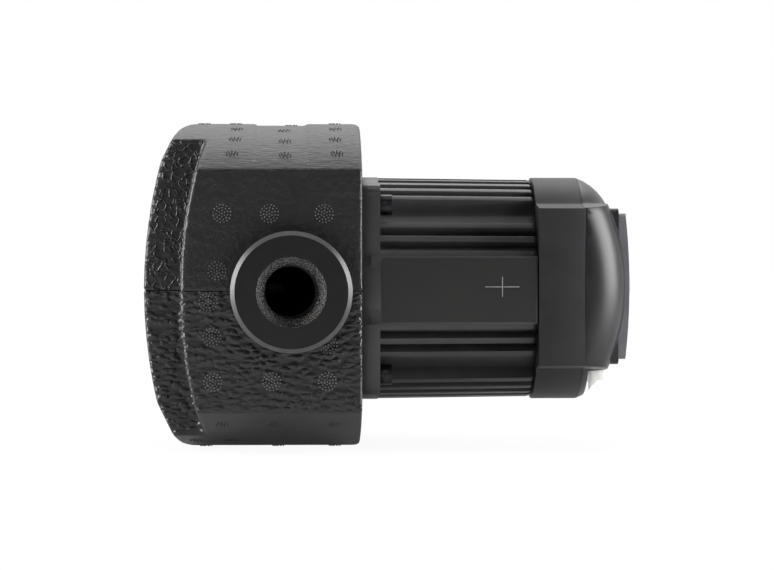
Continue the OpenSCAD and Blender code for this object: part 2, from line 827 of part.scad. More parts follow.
// The cheeks' dome: a barrel turned about a line parallel to the pipe, cut to the cheeks' outline
module cheek_dome(inset) {
    side = dome_side(cheek_y, cheek_shoulder_r, seam_x + cheek_dome_len, inset);
    turn = [for (p = side) [p.y - cheek_barrel_x, p.x]];
    intersection() {
        translate([cheek_barrel_x, motor_y, panel_rise]) rotate([90, 0, 0]) rotate_extrude($fn = 288)
            polygon(concat(turn, [for (i = [len(turn) - 1 : -1 : 0]) [turn[i].x, -turn[i].y]]));
        along_motor(seam_x - overrun) linear_extrude(2 * cheek_dome_len) polygon(cheek_points(inset));
    }
}

module dome_form(inset) {
    round_dome(inset);
    cheek_dome(inset);
}

// Room cut away under the cover for the power inlet
module notch(grow) {
    translate([notch_at - grow, motor_y - 2 * box_r, -2 * box_r])
        cube([box_r, 4 * box_r, 2 * box_r - notch_z + grow]);
}

// Inside of the inlet's hole in the notch's roof
module inlet_block(gap, from_z, to_z) {
    translate([inlet_x - gap, motor_y - inlet_w / 2 - gap, from_z])
        cube([inlet_d + 2 * gap, inlet_w + 2 * gap, to_z - from_z]);
}

// Places of the indicator lights round the button
module at_lamps() {
    for (i = [0 : lamp_count - 1])
        rotate(90 + 360 * i / lamp_count) translate([lamp_ring_r, 0, 0]) children();
}

module control_cover() {
    color("#1b1a20") {
        difference() {
            intersection() {
                union() {
                    dome_form(0);
                    along_panel(seam_x) linear_extrude(ledge_h)
                        polygon(evenly_rounded(square_points(ledge_half), panel_corner_r));
                }
                motor_disc(seam_x, 2 * box_r, 2 * cheek_dome_len);
            }
            difference() {
                intersection() {
                    dome_form(cover_wall);
                    motor_disc(seam_x - overrun, 2 * box_r, cover_floor_x - seam_x + overrun);
                }
                notch(cover_wall);
            }
            notch(0);
            along_panel(ledge_x) linear_extrude(cheek_dome_len)
                polygon(evenly_rounded(square_points(panel_half + slip_gap), panel_corner_r));
            along_panel(cover_floor_x - overrun) {
                cylinder(r = stem_r + slip_gap, h = cover_wall + 2 * overrun);
                at_lamps() cylinder(r = lamp_r + slip_gap, h = cover_wall + 2 * overrun);
            }
            inlet_block(slip_gap, -notch_z - overrun, cover_wall + overrun - notch_z);
        }
        for (a = [0, 180]) about_motor(a) cover_tab(cheek_y - box_wall - slip_gap);
        for (a = [-90, 90])
            about_motor(a) cover_tab(sqrt(pow(box_r - box_wall - slip_gap, 2) - pow(tab_w / 2, 2)));
        along_panel(display_x + display_t) at_four_corners(display_half - post_r)
            cylinder(r = post_r, h = cover_floor_x - display_x - display_t + cover_wall / 2);
    }
}

// Tab that hooks inside the box's wall
module cover_tab(outer) {
    translate([seam_x - tab_len, motor_y - outer, -tab_w / 2])
        cube([tab_len + 2 * tab_t, tab_t, tab_w]);
}

// Space under the crowned face, turned about the panel's axis
module crown_form(drop) {
    along_panel(0) rotate_extrude($fn = 144) intersection() {
        translate([0, crown_x]) circle(r = crown_r - drop, $fn = 720);
        translate([0, display_x]) square([2 * panel_half, panel_top_x - display_x]);
    }
}

module control_panel() {
    color("#17171a") difference() {
        intersection() {
            along_panel(ledge_x) linear_extrude(2 * panel_h)
                polygon(evenly_rounded(square_points(panel_half), panel_corner_r));
            crown_form(0);
        }
        difference() {
            along_panel(ledge_x) linear_extrude(2 * panel_h)
                polygon(evenly_rounded(square_points(film_half + slip_gap), panel_corner_r));
            crown_form(film_t);
        }
        along_panel(ledge_x + panel_floor) cylinder(r = button_d / 2 + slip_gap, h = 2 * panel_h);
        along_panel(ledge_x - overrun) {
            cylinder(r = stem_r + slip_gap, h = panel_h);
            at_lamps() cylinder(r = lamp_r + slip_gap, h = 2 * panel_h);
        }
    }
}

// Film on the crowned face, with windows for the lights and the button
module panel_overlay() {
    color("#3c3d42") difference() {
        intersection() {
            along_panel(ledge_x) linear_extrude(2 * panel_h)
                polygon(evenly_rounded(square_points(film_half), panel_corner_r));
            crown_form(0);
        }
        crown_form(film_t - seat_gap);
        along_panel(ledge_x) {
            cylinder(r = button_d / 2 + slip_gap, h = 2 * panel_h);
            at_lamps() cylinder(r = lamp_r + slip_gap, h = 2 * panel_h);
        }
    }
}

// Clear light guides from the display board up to the film
module indicator_lenses() {
    guide_x = display_x + display_t;
    color("#cfe6d4") intersection() {
        along_panel(guide_x) at_lamps() cylinder(r = lamp_r, h = panel_top_x - guide_x);
        crown_form(0);
    }
}

module display_board() {
    color("#2f6b46") panel_block(display_x, display_half, display_t);
}

module button_switch() {
    color("#c9ccd0") union() {
        panel_block(display_x + display_t, switch_half, switch_h / 2);
        along_panel(display_x + display_t) cylinder(r = switch_half / 2, h = switch_h);
    }
}

// Push button: a dished cap on a stem that reaches down to its switch
module mode_button() {
    cap_x = ledge_x + panel_floor + button_travel + slip_gap;
    cap_end = panel_top_x + button_proud;
    stem_x = display_x + display_t + switch_h + button_travel + slip_gap;
    rim_r = button_d / 2 - button_round;
    dish_r = 3 * button_d;
    dish_lean = asin(rim_r / dish_r);
    dish_centre = [0, cap_end + dish_r * cos(dish_lean)];
    color("#8d9096") along_panel(0) rotate_extrude() polygon(concat(
        [[0, stem_x], [stem_r, stem_x], [stem_r, cap_x], [button_d / 2, cap_x]],
        arc_points([rim_r, cap_end - button_round], button_round, 0, 90, 4),
        arc_points(dish_centre, dish_r, dish_lean - 90, -90, 4)));
}

// Pale moulded inlet in the notch, with a socket that opens downwards
module power_inlet() {
    rim_z = -notch_z - inlet_rim;
    gusset_x = inlet_x + inlet_wall;
    gusset = [[0, 0], [gusset_d, 0], [0, -gusset_h]];
    color("#d9d8d2") union() {
        difference() {
            inlet_block(0, rim_z, inlet_top - notch_z);
            inlet_block(-inlet_wall, rim_z - overrun, rim_z + socket_depth);
        }
        translate([gusset_x, motor_y - inlet_w / 2 + gusset_t, rim_z]) rotate([90, 0, 0])
            linear_extrude(gusset_t) polygon(gusset);
        translate([gusset_x, motor_y + inlet_w / 2, rim_z]) rotate([90, 0, 0])
            linear_extrude(gusset_t) polygon(gusset);
    }
}

module power_pins() {
    pin_top = socket_depth - notch_z - inlet_rim;
    color("#d0b070") for (i = [-1 : 1])
        translate([inlet_x + (inlet_d - pin_t) / 2, motor_y + i * pin_pitch - pin_w / 2, pin_top - pin_show])
            cube([pin_t, pin_w, pin_show - seat_gap]);
}

// Radius of an arch from the edge of the front face up to its crown
function arch_r(crown_z) =
    let (rise = crown_z - face_half_z) (foam_half_y * foam_half_y + rise * rise) / (2 * rise);

// Section across the motor: level sides between an arch above and a flatter one below
module foam_section(half_y) {
    intersection() {
        translate([-half_y, -foam_bottom]) square([2 * half_y, foam_bottom + foam_top]);
        translate([0, foam_top - arch_r(foam_top)]) circle(r = arch_r(foam_top), $fn = 360);
        translate([0, arch_r(foam_bottom) - foam_bottom]) circle(r = arch_r(foam_bottom), $fn = 360);
    }
}

// Front view of the raised part: straight at the motor, curved at its other edge
module raised_outline() {
    intersection() {
        translate([-foam_back, -foam_bottom]) square([foam_back + foam_end_x, foam_bottom + foam_top]);
        translate([face_edge_r - face_edge, 0]) circle(r = face_edge_r, $fn = 360);
        foam_corners();
    }
}

// Front view of the whole foam shell
module back_outline() {
    intersection() {
        foam_corners();
        translate([back_r - foam_back, 0]) circle(r = back_r, $fn = 360);
    }
}

// Rounded corners by the motor, and leaning ones at the back
module foam_corners() {
    reach = foam_back - back_top_x + back_top_round;
    drop = reach / tan(back_lean);
    corners = [[foam_end_x, -foam_bottom], [foam_end_x, foam_top], [-back_top_x, foam_top],
        [-back_top_x - reach, foam_top - drop], [-back_top_x - reach, drop - foam_bottom],
        [-back_top_x, -foam_bottom]];
    polygon(rounded(corners, [foam_round, foam_round, back_top_round, 0, 0, back_top_round]));
}

// A part of the foam: its front view, as deep as a section of the given half-depth
module foam_block(half_y) {
    intersection() {
        across_pipe(2 * foam_half_y) children();
        along_motor(-foam_back - overrun) linear_extrude(foam_back + foam_end_x + 2 * overrun)
            foam_section(half_y);
    }
}

module foam_form() {
    foam_block(foam_half_y) raised_outline();
    foam_block(back_half_y) back_outline();
}

// One half of the foam: 1 is the upper one and -1 the lower
module foam_half(side) {
    difference() {
        foam_form();
        casing_form(foam_gap, overrun);
        mirror([0, 0, side > 0 ? 0 : 1])
            translate([-2 * foam_back, motor_y - 2 * foam_half_y, -2 * foam_top])
                cube([4 * foam_back, 4 * foam_half_y, 2 * foam_top + parting / 2]);
    }
}

module upper_insulation_shell() {
    color("#2b2b2c") foam_half(1);
}

module lower_insulation_shell() {
    color("#262627") foam_half(-1);
}

pump_casing();
neck_ring();
casing_gasket();
bearing_plate();
front_bearing();
rotor_can();
rear_bearing();
shaft();
rotor_core();
rotor_sleeve();
thrust_ring();
impeller();
impeller_shroud();
stator_core();
stator_bobbins();
stator_windings();
motor_housing();
flange_screws();
rating_label();
box_gasket();
control_box();
box_screws();
lead_grommet();
circuit_board();
filter_capacitor();
choke_coil();
power_inlet();
power_pins();
control_cover();
control_panel();
panel_overlay();
indicator_lenses();
display_board();
button_switch();
mode_button();
upper_insulation_shell();
lower_insulation_shell();
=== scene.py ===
import bpy
import json
import math
from mathutils import Matrix, Vector, noise
from mathutils.bvhtree import BVHTree


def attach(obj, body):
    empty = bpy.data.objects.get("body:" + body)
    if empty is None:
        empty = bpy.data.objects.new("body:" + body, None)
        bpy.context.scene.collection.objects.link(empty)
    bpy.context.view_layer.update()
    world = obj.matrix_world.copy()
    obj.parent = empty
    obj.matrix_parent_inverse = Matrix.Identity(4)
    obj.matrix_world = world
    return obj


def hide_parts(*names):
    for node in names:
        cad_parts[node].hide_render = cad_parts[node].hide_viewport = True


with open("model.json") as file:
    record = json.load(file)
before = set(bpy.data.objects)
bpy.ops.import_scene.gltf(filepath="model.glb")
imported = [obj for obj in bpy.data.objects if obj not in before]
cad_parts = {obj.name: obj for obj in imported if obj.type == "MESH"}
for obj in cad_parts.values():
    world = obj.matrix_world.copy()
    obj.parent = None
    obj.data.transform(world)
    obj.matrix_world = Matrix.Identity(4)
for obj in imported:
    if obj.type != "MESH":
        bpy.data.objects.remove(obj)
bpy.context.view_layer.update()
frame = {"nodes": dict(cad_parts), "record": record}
mm = 0.001
perMetre = 1000    # millimetres, for a pattern's scale
motorY = 0.09      # the motor's axis crosses the pipe halfway along it
print("stage: frame loaded with", len(frame["nodes"]), "nodes")


# Helpers for picking, finishing and riding a piece

# Points closer than these are merged, and faces within the flat angle of each other become one
meshing = {"merge": 0.002 * mm, "fineMerge": 0.0001 * mm, "flat": 0.2, "smooth": 30}


def deselectAll():
    if bpy.context.object and bpy.context.object.mode != "OBJECT":
        bpy.ops.object.mode_set(mode="OBJECT")
    bpy.ops.object.select_all(action="DESELECT")


def choose(piece):
    deselectAll()
    piece.select_set(True)
    bpy.context.view_layer.objects.active = piece


def applyModifiers(piece):
    choose(piece)
    for modifier in list(piece.modifiers):
        bpy.ops.object.modifier_apply(modifier=modifier.name)


def placeInMesh(piece):
    # the place, turn and size go into the mesh, and the object stays at the origin
    choose(piece)
    bpy.ops.object.transform_apply(location=True, rotation=True, scale=True)


def smoothBy(piece, degrees):
    choose(piece)
    bpy.ops.object.shade_smooth_by_angle(angle=math.radians(degrees))


def outwards(piece):
    choose(piece)
    bpy.ops.object.mode_set(mode="EDIT")
    bpy.ops.mesh.select_all(action="SELECT")
    bpy.ops.mesh.remove_doubles(threshold=meshing["fineMerge"])
    bpy.ops.mesh.normals_make_consistent(inside=False)
    bpy.ops.object.mode_set(mode="OBJECT")


def joined(pieces, name):
    deselectAll()
    for piece in pieces:
        piece.select_set(True)
    bpy.context.view_layer.objects.active = pieces[0]
    bpy.ops.object.join()
    pieces[0].name = name
    return pieces[0]


def dress(piece, material, body):
    piece.data.materials.clear()
    piece.data.materials.append(material)
    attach(piece, body)
    return piece


# Materials

# A noise lies mostly within these, so they are stretched over a look's whole range
noiseSpan = {"patch": (0.35, 0.65), "grain": (0.3, 0.7)}
waveBands = 20     # a wave node turns by this many radians in each unit


def linear(hexColour):
    parts = [int(hexColour[i:i + 2], 16) / 255 for i in (1, 3, 5)]
    return [c / 12.92 if c <= 0.04045 else ((c + 0.055) / 1.055) ** 2.4 for c in parts] + [1.0]


def addNode(tree, kind, settings, links):
    # a number stands for a socket's place, because a mix or math node names several alike
    node = tree.nodes.new(kind)
    for name, value in settings.items():
        if isinstance(name, str) and hasattr(node, name):
            setattr(node, name, value)
        else:
            node.inputs[name].default_value = value
    for name, socket in links.items():
        tree.links.new(socket, node.inputs[name])
    return node


def surface(name, look):
    # colour varies between two tones, and grain gives roughness and bump; sizes are in millimetres
    material = bpy.data.materials.new(name)
    material.use_nodes = True
    tree = material.node_tree
    shader = tree.nodes["Principled BSDF"]
    place = addNode(tree, "ShaderNodeTexCoord", {}, {}).outputs["Object"]
    if "stretch" in look:
        place = addNode(tree, "ShaderNodeMapping", {"Scale": look["stretch"]}, {"Vector": place}).outputs[0]
    patches = addNode(tree, "ShaderNodeTexNoise", {"Scale": perMetre / look["patch"], "Detail": 4.0},
                      {"Vector": place})
    least, most = noiseSpan["patch"]
    spread = addNode(tree, "ShaderNodeMapRange", {"From Min": least, "From Max": most},
                     {"Value": patches.outputs[0]})
    colour = addNode(tree, "ShaderNodeMix", {"data_type": "RGBA", 6: linear(look["dark"]),
                                             7: linear(look["light"])}, {0: spread.outputs[0]})
    tree.links.new(colour.outputs[2], shader.inputs["Base Color"])
    if "across" in look:
        grain = addNode(tree, "ShaderNodeTexWave", {"bands_direction": look["across"],
                        "Scale": perMetre / look["grain"] / waveBands, "Distortion": 0.4},
                        {"Vector": place})
    else:
        grain = addNode(tree, "ShaderNodeTexNoise", {"Scale": perMetre / look["grain"], "Detail": 3.0},
                        {"Vector": place})
    least, most = noiseSpan["grain"]
    low, high = look["rough"]
    rough = addNode(tree, "ShaderNodeMapRange", {"From Min": least, "From Max": most, "To Min": low,
                                                 "To Max": high}, {"Value": grain.outputs[0]})
    tree.links.new(rough.outputs[0], shader.inputs["Roughness"])
    bump = addNode(tree, "ShaderNodeBump", {"Strength": 1.0, "Distance": look["relief"] * mm},
                   {"Height": grain.outputs[0]})
    tree.links.new(bump.outputs[0], shader.inputs["Normal"])
    for socket, value in look.get("sockets", {}).items():
        shader.inputs[socket].default_value = value
    return material


foamPattern = {
    "wander": 0.9, "bend": 0.45,              # how fast the seams wander, and how much of it bends them
    "ridgeScale": 2.4, "pebbleScale": 1.9,    # the bend spreads the beads, and these bring them back
    "seamWidth": 0.14, "seamBreak": (0.36, 0.5), "overlap": 0.2, "pebbleEdge": (0.1, 0.75),
    "calmOver": 1, "archFrom": 0.5, "archTo": 0.72,
}


def foamSurface(name, look):
    # fused beads on the upright faces, and fine lines along the motor on the arches; heights are in mm
    material = bpy.data.materials.new(name)
    material.use_nodes = True
    tree = material.node_tree
    shader = tree.nodes["Principled BSDF"]
    spot = addNode(tree, "ShaderNodeTexCoord", {}, {})
    place = spot.outputs["Object"]
    cells = [1 / (size * mm) for size in look["bead"]]
    scaled = addNode(tree, "ShaderNodeMapping", {"Scale": cells}, {"Vector": place})
    wander = addNode(tree, "ShaderNodeTexNoise", {"Scale": foamPattern["wander"], "Detail": 2.0},
                     {"Vector": scaled.outputs[0]})
    bent = addNode(tree, "ShaderNodeMix", {"data_type": "VECTOR", 0: foamPattern["bend"]},
                   {4: scaled.outputs[0], 5: wander.outputs["Color"]})
    if look["style"] == "ridges":
        # thin raised seams that come and go, calmer on the raised face than in the recess beside it
        edge = addNode(tree, "ShaderNodeTexVoronoi", {"feature": "DISTANCE_TO_EDGE",
                       "Scale": foamPattern["ridgeScale"]}, {"Vector": bent.outputs[1]})
        seam = addNode(tree, "ShaderNodeMapRange", {"interpolation_type": "SMOOTHSTEP",
                       "From Max": foamPattern["seamWidth"], "To Min": 1.0, "To Max": 0.0},
                       {"Value": edge.outputs["Distance"]})
        gone, whole = foamPattern["seamBreak"]
        broken = addNode(tree, "ShaderNodeMapRange", {"interpolation_type": "SMOOTHSTEP",
                         "From Min": gone, "From Max": whole}, {"Value": wander.outputs[0]})
        axes = addNode(tree, "ShaderNodeSeparateXYZ", {}, {0: place})
        depth = addNode(tree, "ShaderNodeMath", {"operation": "SUBTRACT", 1: motorY}, {0: axes.outputs["Y"]})
        outer = addNode(tree, "ShaderNodeMath", {"operation": "ABSOLUTE"}, {0: depth.outputs[0]})
        calmTo = look["calmFrom"] + foamPattern["calmOver"]
        calm = addNode(tree, "ShaderNodeMapRange", {"From Min": look["calmFrom"] * mm,
                       "From Max": calmTo * mm, "To Min": 1.0, "To Max": look["calm"]},
                       {"Value": outer.outputs[0]})
        parted = addNode(tree, "ShaderNodeMath", {"operation": "MULTIPLY"},
                         {0: seam.outputs[0], 1: broken.outputs[0]})
        beads = addNode(tree, "ShaderNodeMath", {"operation": "MULTIPLY"},
                        {0: parted.outputs[0], 1: calm.outputs[0]})
    else:
        # low overlapping pebbles
        near = addNode(tree, "ShaderNodeTexVoronoi", {"feature": "SMOOTH_F1",
                       "Smoothness": foamPattern["overlap"], "Scale": foamPattern["pebbleScale"]},
                       {"Vector": bent.outputs[1]})
        inner, rim = foamPattern["pebbleEdge"]
        beads = addNode(tree, "ShaderNodeMapRange", {"interpolation_type": "SMOOTHSTEP", "From Min": inner,
                        "From Max": rim, "To Min": 1.0, "To Max": 0.0}, {"Value": near.outputs["Distance"]})
    fine = addNode(tree, "ShaderNodeTexNoise", {"Scale": 1 / (look["grain"] * mm), "Detail": 3.0},
                   {"Vector": place})
    tall = addNode(tree, "ShaderNodeMath", {"operation": "MULTIPLY", 1: look["relief"]},
                   {0: beads.outputs[0]})
    upright = addNode(tree, "ShaderNodeMath", {"operation": "MULTIPLY_ADD", 1: look["fine"]},
                      {0: fine.outputs[0], 2: tall.outputs[0]})
    drawn = addNode(tree, "ShaderNodeMapping", {"Scale": [1 / (size * mm) for size in look["line"]]},
                    {"Vector": place})
    lines = addNode(tree, "ShaderNodeTexNoise", {"Scale": 1.0, "Detail": 2.0}, {"Vector": drawn.outputs[0]})
    low = addNode(tree, "ShaderNodeMath", {"operation": "MULTIPLY_ADD", 1: look["lineRelief"],
                                           2: look["level"]}, {0: lines.outputs[0]})
    # the nearer the skin lies to level, the more of it is the arches' own
    facing = addNode(tree, "ShaderNodeSeparateXYZ", {}, {0: spot.outputs["Normal"]})
    level = addNode(tree, "ShaderNodeMath", {"operation": "ABSOLUTE"}, {0: facing.outputs["Z"]})
    arch = addNode(tree, "ShaderNodeMapRange", {"interpolation_type": "SMOOTHSTEP",
                   "From Min": foamPattern["archFrom"], "From Max": foamPattern["archTo"]},
                   {"Value": level.outputs[0]})
    height = addNode(tree, "ShaderNodeMix", {}, {0: arch.outputs[0], 2: upright.outputs[0],
                                                 3: low.outputs[0]})
    bump = addNode(tree, "ShaderNodeBump", {"Strength": 1.0, "Distance": mm}, {"Height": height.outputs[0]})
    colour = addNode(tree, "ShaderNodeMix", {"data_type": "RGBA", 6: linear(look["skin"]),
                                             7: linear(look["seam"])}, {0: fine.outputs[0]})
    rough = addNode(tree, "ShaderNodeMapRange", {"To Min": look["rough"][0], "To Max": look["rough"][1]},
                    {"Value": arch.outputs[0]})
    tree.links.new(colour.outputs[2], shader.inputs["Base Color"])
    tree.links.new(rough.outputs[0], shader.inputs["Roughness"])
    tree.links.new(bump.outputs[0], shader.inputs["Normal"])
    shader.inputs["IOR"].default_value = look["IOR"]
    return material


# Grit and mould textures finer than about 0.5 mm are drawn at 0.3 to 0.9 mm, so that they show
looks = {
    # Cast iron under a thin black dip coat: near black and satin, with an even sand grain
    "dippedIron": {"dark": "#070708", "light": "#0c0c0d", "patch": 6, "rough": (0.28, 0.4), "grain": 0.9,
                   "relief": 0.015, "sockets": {"IOR": 1.42}},
    # The same casting where the sand core left it raw: coarse grey grains, with pale specks painted in as
    # glints inside the bore
    "rawCastingGlints": {"dark": "#060606", "light": "#7d7a78", "patch": 0.6, "rough": (0.1, 0.4), "grain": 1.0,
                   "relief": 1.6, "sockets": {"IOR": 2.0}},
    # The chamfer on the ports, where the tool cut through the coat: a thin ring, painted lighter as a
    # highlight that runs all round it
    "turnedEdgeHighlight": {"dark": "#262627", "light": "#303031", "patch": 4, "rough": (0.4, 0.48), "grain": 0.5,
                   "relief": 0.004, "sockets": {"IOR": 1.6}},
    # Die-cast aluminium under black powder paint: a soft sheen with slight orange peel
    "paintedAluminium": {"dark": "#2c2b2d", "light": "#323133", "patch": 14, "rough": (0.34, 0.42),
                         "grain": 1.6, "relief": 0.006, "sockets": {"IOR": 1.5}},
    # Steel under black oxide: dark metal with soft streaks
    "blackSteel": {"dark": "#2b2b2d", "light": "#3b3b3e", "patch": 3, "rough": (0.28, 0.42), "grain": 0.6,
                   "relief": 0.01, "sockets": {"Metallic": 1.0}},
    # Stainless sheet, cold-rolled and brushed: pale metal with faint streaks along the motor
    "stainless": {"dark": "#a9abad", "light": "#bfc1c3", "patch": 8, "rough": (0.22, 0.36), "grain": 0.5,
                  "relief": 0.005, "stretch": (1, 6, 6), "sockets": {"Metallic": 1.0}},
    # Polyester film, coated: dark, flat and satin
    "labelFilm": {"dark": "#161615", "light": "#1b1b19", "patch": 20, "rough": (0.3, 0.36), "grain": 0.7,
                  "relief": 0.004, "sockets": {"IOR": 1.55}},
    # Polycarbonate blend from a spark-eroded mould: an even matt grain
    "mouldedCase": {"dark": "#1f1d1f", "light": "#252325", "patch": 12, "rough": (0.46, 0.56),
                    "grain": 0.5, "relief": 0.02, "sockets": {"IOR": 1.42}},
    # The same plastic from a smoother mould: semi-gloss with a violet cast
    "coverGloss": {"dark": "#0d0b0f", "light": "#121014", "patch": 16, "rough": (0.35, 0.39), "grain": 0.6,
                   "relief": 0.006, "sockets": {"IOR": 1.45}},
    # Plastic, moulded and satin: a mid grey painted lighter than the dark cover, as painted light for the
    # side lamp's light on the panel's edge
    "panelPlastic": {"dark": "#5f5e63", "light": "#68676c", "patch": 12, "rough": (0.3, 0.42),
                     "grain": 0.5, "relief": 0.015, "sockets": {"IOR": 1.57}},
    # Polyester film, printed on its back: flat dark grey with a low sheen
    "overlayFilm": {"dark": "#38393e", "light": "#3d3e44", "patch": 15, "rough": (0.38, 0.44),
                    "grain": 0.4, "relief": 0.004, "sockets": {"IOR": 1.55}},
    # The foam's vent nubs on the upright faces, painted pale: painted highlights that show as small glints
    "ventNubHighlight": {"dark": "#646464", "light": "#7a7a7a", "patch": 2, "rough": (0.25, 0.35), "grain": 0.5,
                "relief": 0.01, "sockets": {"IOR": 1.5}},
    # The same nubs on the arches, painted near black: painted shade that shows as small dark dots
    "ventShade": {"dark": "#050505", "light": "#090909", "patch": 2, "rough": (0.5, 0.6), "grain": 0.5,
                  "relief": 0.01, "sockets": {"IOR": 1.5}},
    # ABS, moulded: pale grey with a soft shine
    "buttonPlastic": {"dark": "#7e8187", "light": "#878a90", "patch": 6, "rough": (0.34, 0.44),
                      "grain": 0.4, "relief": 0.01, "sockets": {"IOR": 1.5}},
    # Polycarbonate with a green tint, moulded clear: a sharp highlight, and light goes through
    "clearLens": {"dark": "#bcd8c2", "light": "#cbe6d0", "patch": 4, "rough": (0.08, 0.14), "grain": 0.6,
                  "relief": 0.002, "sockets": {"IOR": 1.58, "Transmission Weight": 0.6}},
    # Ink, screen-printed on the film: a thin pale line
    "palePrint": {"dark": "#a7a8ab", "light": "#b4b5b8", "patch": 5, "rough": (0.4, 0.5), "grain": 0.4,
                  "relief": 0.002, "sockets": {"IOR": 1.5}},
    # Natural nylon, moulded: milky, and light goes a little way in
    "naturalNylon": {"dark": "#f0eee8", "light": "#f7f6f2", "patch": 7, "rough": (0.34, 0.46),
                     "grain": 0.5, "relief": 0.008, "sockets": {"IOR": 1.53, "Subsurface Weight": 0.1,
                                                              "Subsurface Scale": 0.001}},
    # Rubber, moulded: dull black
    "mouldedRubber": {"dark": "#1a1a1a", "light": "#232323", "patch": 5, "rough": (0.6, 0.75),
                      "grain": 0.6, "relief": 0.02, "sockets": {"IOR": 1.52}},
    # Carbon graphite, pressed: dark grey with a greasy sheen
    "pressedCarbon": {"dark": "#2a2b2d", "light": "#3a3b3e", "patch": 2, "rough": (0.3, 0.45),
                      "grain": 0.4, "relief": 0.01, "sockets": {"IOR": 1.7}},
    # Alumina, ground: cream, smooth and bright
    "groundCeramic": {"dark": "#dedacf", "light": "#e9e6dd", "patch": 4, "rough": (0.12, 0.2),
                      "grain": 0.3, "relief": 0.002, "sockets": {"IOR": 1.76}},
    # Ferrite, pressed and sintered: dull dark grey with a fine grain
    "pressedMagnet": {"dark": "#48494c", "light": "#5a5b5f", "patch": 3, "rough": (0.4, 0.55),
                      "grain": 0.7, "relief": 0.02, "sockets": {"Metallic": 0.6}},
    # Resin filled with glass fibre, moulded: tan with short flow streaks
    "glassFilledResin": {"dark": "#cbbf9f", "light": "#dbd0b4", "patch": 4, "rough": (0.4, 0.52),
                         "grain": 0.6, "relief": 0.012, "stretch": (1, 3, 1), "sockets": {"IOR": 1.6}},
    # Sheet steel, stacked: lines round the core, drawn 3 mm apart, coarser than the sheets, to show
    "stackedSheet": {"dark": "#5c5e62", "light": "#74767a", "patch": 4, "rough": (0.35, 0.5),
                     "across": "X", "grain": 0.5, "relief": 0.03, "sockets": {"Metallic": 0.9}},
    # Copper wire, enamelled and wound: warm slanting rows, drawn 5 mm apart, coarser than the turns
    "copperWire": {"dark": "#8e431c", "light": "#b8622f", "patch": 3, "rough": (0.22, 0.34),
                   "across": "DIAGONAL", "grain": 0.7, "relief": 0.12, "sockets": {"Metallic": 0.9}},
    # Glass-fibre epoxy under green resist: an even green with a low gloss
    "circuitBoard": {"dark": "#17442a", "light": "#1f5735", "patch": 3, "rough": (0.3, 0.42),
                     "grain": 0.9, "relief": 0.015, "sockets": {"IOR": 1.55}},
    # Vinyl sleeve, shrunk on: smooth blue with a clear highlight
    "shrinkSleeve": {"dark": "#24405f", "light": "#2c4c70", "patch": 6, "rough": (0.2, 0.3), "grain": 0.8,
                     "relief": 0.006, "sockets": {"IOR": 1.52}},
    # Brass, thinly tinned: pale yellow metal
    "tinnedBrass": {"dark": "#c3ab6c", "light": "#d2bd83", "patch": 2, "rough": (0.24, 0.36),
                    "grain": 0.4, "relief": 0.004, "sockets": {"Metallic": 1.0}},
}
materials = {name: surface(name, look) for name, look in looks.items()}
foamLooks = {
    # Polypropylene foam, steam-moulded: fused beads with thin raised seams, and lines on the arches
    "upperBeads": {"style": "ridges", "bead": (4.4, 4.4, 4.0), "relief": 0.3, "calmFrom": 60, "calm": 0.22,
                   "grain": 0.8, "fine": 0.10, "line": (4.0, 0.7, 0.7), "lineRelief": 0.24,
                   "level": -0.03, "skin": "#080808", "seam": "#0f0f0f", "rough": (0.38, 0.42), "IOR": 1.5},
    # The same foam from the lower half's mould: low overlapping pebbles, and a smoother belly
    "lowerBeads": {"style": "pebbles", "bead": (3.8, 3.4, 2.3), "relief": 0.6,
                   "grain": 0.8, "fine": 0.12, "line": (7.0, 1.6, 1.6), "lineRelief": 0.12,
                   "level": 0.3, "skin": "#0f0f0f", "seam": "#181818", "rough": (0.32, 0.46), "IOR": 1.5},
}
materials.update({name: foamSurface(name, look) for name, look in foamLooks.items()})

nodeLooks = {
    "pump_casing": "dippedIron", "neck_ring": "stainless", "casing_gasket": "mouldedRubber",
    "bearing_plate": "stainless", "front_bearing": "pressedCarbon", "rotor_can": "stainless",
    "rear_bearing": "pressedCarbon", "shaft": "groundCeramic", "rotor_core": "pressedMagnet",
    "rotor_sleeve": "stainless", "thrust_ring": "pressedCarbon", "impeller": "glassFilledResin",
    "impeller_shroud": "glassFilledResin", "stator_core": "stackedSheet",
    "stator_bobbins": "naturalNylon", "stator_windings": "copperWire",
    "motor_housing": "paintedAluminium", "flange_screws": "blackSteel", "rating_label": "labelFilm",
    "box_gasket": "mouldedRubber", "control_box": "mouldedCase", "box_screws": "stainless",
    "lead_grommet": "mouldedRubber", "circuit_board": "circuitBoard",
    "filter_capacitor": "shrinkSleeve", "choke_coil": "copperWire", "power_inlet": "naturalNylon",
    "power_pins": "tinnedBrass", "control_cover": "coverGloss", "control_panel": "panelPlastic",
    "panel_overlay": "overlayFilm", "indicator_lenses": "clearLens", "display_board": "circuitBoard",
    "button_switch": "tinnedBrass", "mode_button": "buttonPlastic",
    "upper_insulation_shell": "upperBeads", "lower_insulation_shell": "lowerBeads",
}
for node, look in nodeLooks.items():
    mesh = frame["nodes"][node].data
    mesh.materials.clear()
    mesh.materials.append(materials[look])
    smoothBy(frame["nodes"][node], meshing["smooth"])
print("stage: materials made")


# Pieces made from a copy of a CAD node

nodeBody = {node: body for body, members in frame["record"]["behaviour"]["bodies"].items()
            for node in members}


def copyOf(node, name):
    piece = bpy.data.objects.new(name, frame["nodes"][node].data.copy())
    bpy.context.scene.collection.objects.link(piece)
    choose(piece)
    # the normals that came with the file would streak the joined faces
    bpy.ops.mesh.customdata_custom_splitnormals_clear()
    bpy.ops.object.mode_set(mode="EDIT")
    bpy.ops.mesh.select_all(action="SELECT")
    bpy.ops.mesh.remove_doubles(threshold=meshing["merge"])
    bpy.ops.mesh.dissolve_limited(angle_limit=math.radians(meshing["flat"]))
    bpy.ops.object.mode_set(mode="OBJECT")
    return piece


